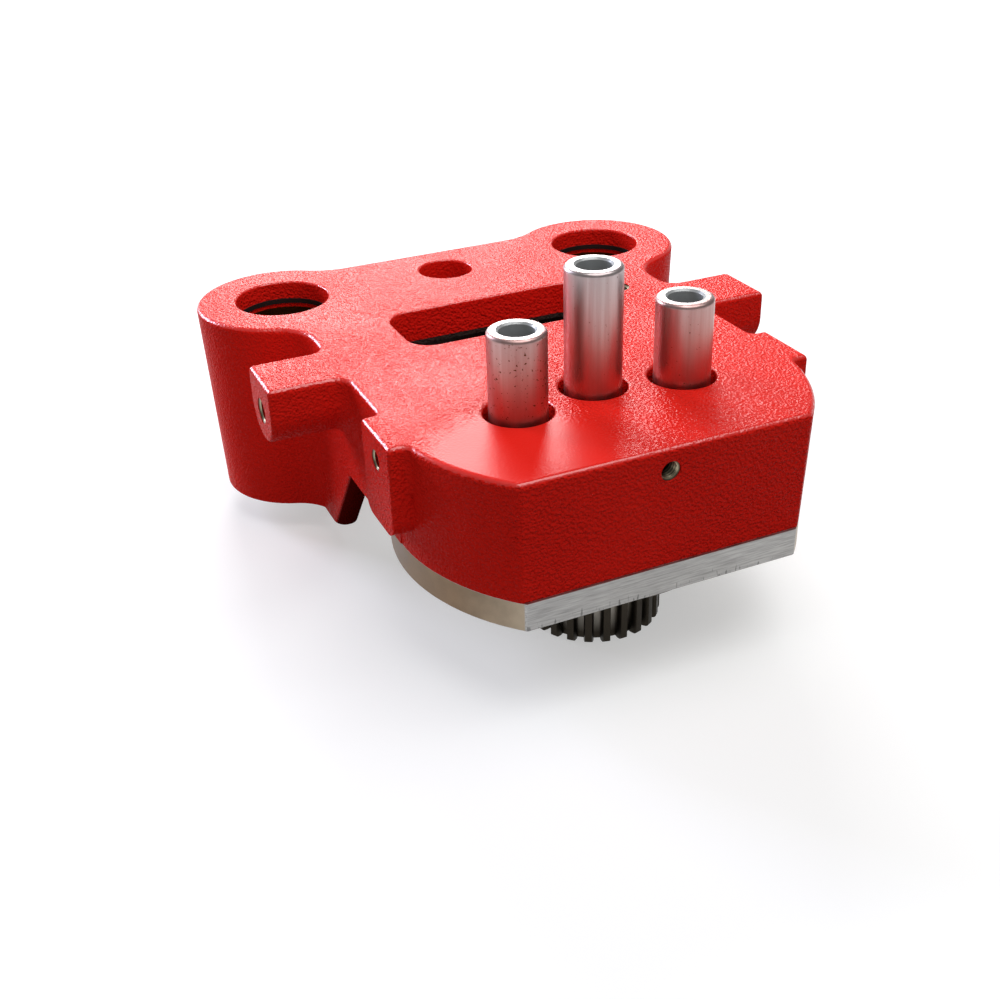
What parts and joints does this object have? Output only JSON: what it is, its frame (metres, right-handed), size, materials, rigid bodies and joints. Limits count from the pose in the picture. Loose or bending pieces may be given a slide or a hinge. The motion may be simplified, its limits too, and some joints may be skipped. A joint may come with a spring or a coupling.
{
  "type": "hinge boring machine drilling head",
  "caption": "Cast gear head for hinge boring: long and short bit spindles geared together, guide bores for columns, and a motor flange with a toothed coupling hub.",
  "frame": {"origin": "on the drive axis, in the plane of the flange plate's motor face", "axes": "+Z along the spindles towards their bit sockets, +Y back towards the guide bores, +X to the right seen from the front"},
  "size_m": [0.1758, 0.1831, 0.111],
  "materials": {
    "red_enamel": "gloss enamel over a rough casting",
    "machined_iron": "bare milled and turned",
    "plated_steel": "bright zinc plate, lightly spotted",
    "dark_steel": "blackened",
    "gear_steel": "hobbed and hardened",
    "ground_steel": "ground",
    "black_rubber": "satin",
    "bronze": "turned"
  },
  "bodies": {
    "housing": {"gear_housing": "red_enamel", "flange_plate": "machined_iron", "plate_screws": "dark_steel", "plate_dowels": "ground_steel", "shaft_seal": "black_rubber", "left_guide_bush": "bronze", "right_guide_bush": "bronze", "left_wiper_ring": "black_rubber", "right_wiper_ring": "black_rubber", "left_bush_ring": "dark_steel", "right_bush_ring": "dark_steel", "left_upper_bearing_outer": "ground_steel", "left_upper_bearing_balls": "ground_steel", "left_lower_bearing_outer": "ground_steel", "left_lower_bearing_balls": "ground_steel", "middle_upper_bearing_outer": "ground_steel", "middle_upper_bearing_balls": "ground_steel", "middle_lower_bearing_outer": "ground_steel", "middle_lower_bearing_balls": "ground_steel", "right_upper_bearing_outer": "ground_steel", "right_upper_bearing_balls": "ground_steel", "right_lower_bearing_outer": "ground_steel", "right_lower_bearing_balls": "ground_steel"},
    "left_spindle_set": {"left_spindle": "plated_steel", "left_gear": "gear_steel", "left_gear_key": "ground_steel", "left_upper_spacer": "ground_steel", "left_lower_spacer": "ground_steel", "left_shaft_ring": "dark_steel", "left_upper_bearing_inner": "ground_steel", "left_lower_bearing_inner": "ground_steel"},
    "middle_spindle_set": {"middle_spindle": "plated_steel", "middle_gear": "gear_steel", "middle_gear_key": "ground_steel", "middle_upper_spacer": "ground_steel", "middle_lower_spacer": "ground_steel", "middle_shaft_ring": "dark_steel", "middle_upper_bearing_inner": "ground_steel", "middle_lower_bearing_inner": "ground_steel", "coupling_hub": "dark_steel", "hub_key": "ground_steel", "hub_washer": "dark_steel", "hub_screw": "dark_steel"},
    "right_spindle_set": {"right_spindle": "plated_steel", "right_gear": "gear_steel", "right_gear_key": "ground_steel", "right_upper_spacer": "ground_steel", "right_lower_spacer": "ground_steel", "right_shaft_ring": "dark_steel", "right_upper_bearing_inner": "ground_steel", "right_lower_bearing_inner": "ground_steel"}
  },
  "joints": [
    {"name": "middle_spindle_turn", "type": "hinge", "parent": "housing", "child": "middle_spindle_set", "pos_m": [0, 0, 0.045], "axis": [0, 0, 1], "continuous": true},
    {"name": "left_spindle_turn", "type": "hinge", "parent": "housing", "child": "left_spindle_set", "pos_m": [-0.026, -0.0055, 0.045], "axis": [0, 0, 1], "continuous": true},
    {"name": "right_spindle_turn", "type": "hinge", "parent": "housing", "child": "right_spindle_set", "pos_m": [0.026, -0.0055, 0.045], "axis": [0, 0, 1], "continuous": true}
  ],
  "couplings": [
    {"joint": "left_spindle_turn", "follows": "middle_spindle_turn", "ratio": -1},
    {"joint": "right_spindle_turn", "follows": "middle_spindle_turn", "ratio": -1}
  ]
}
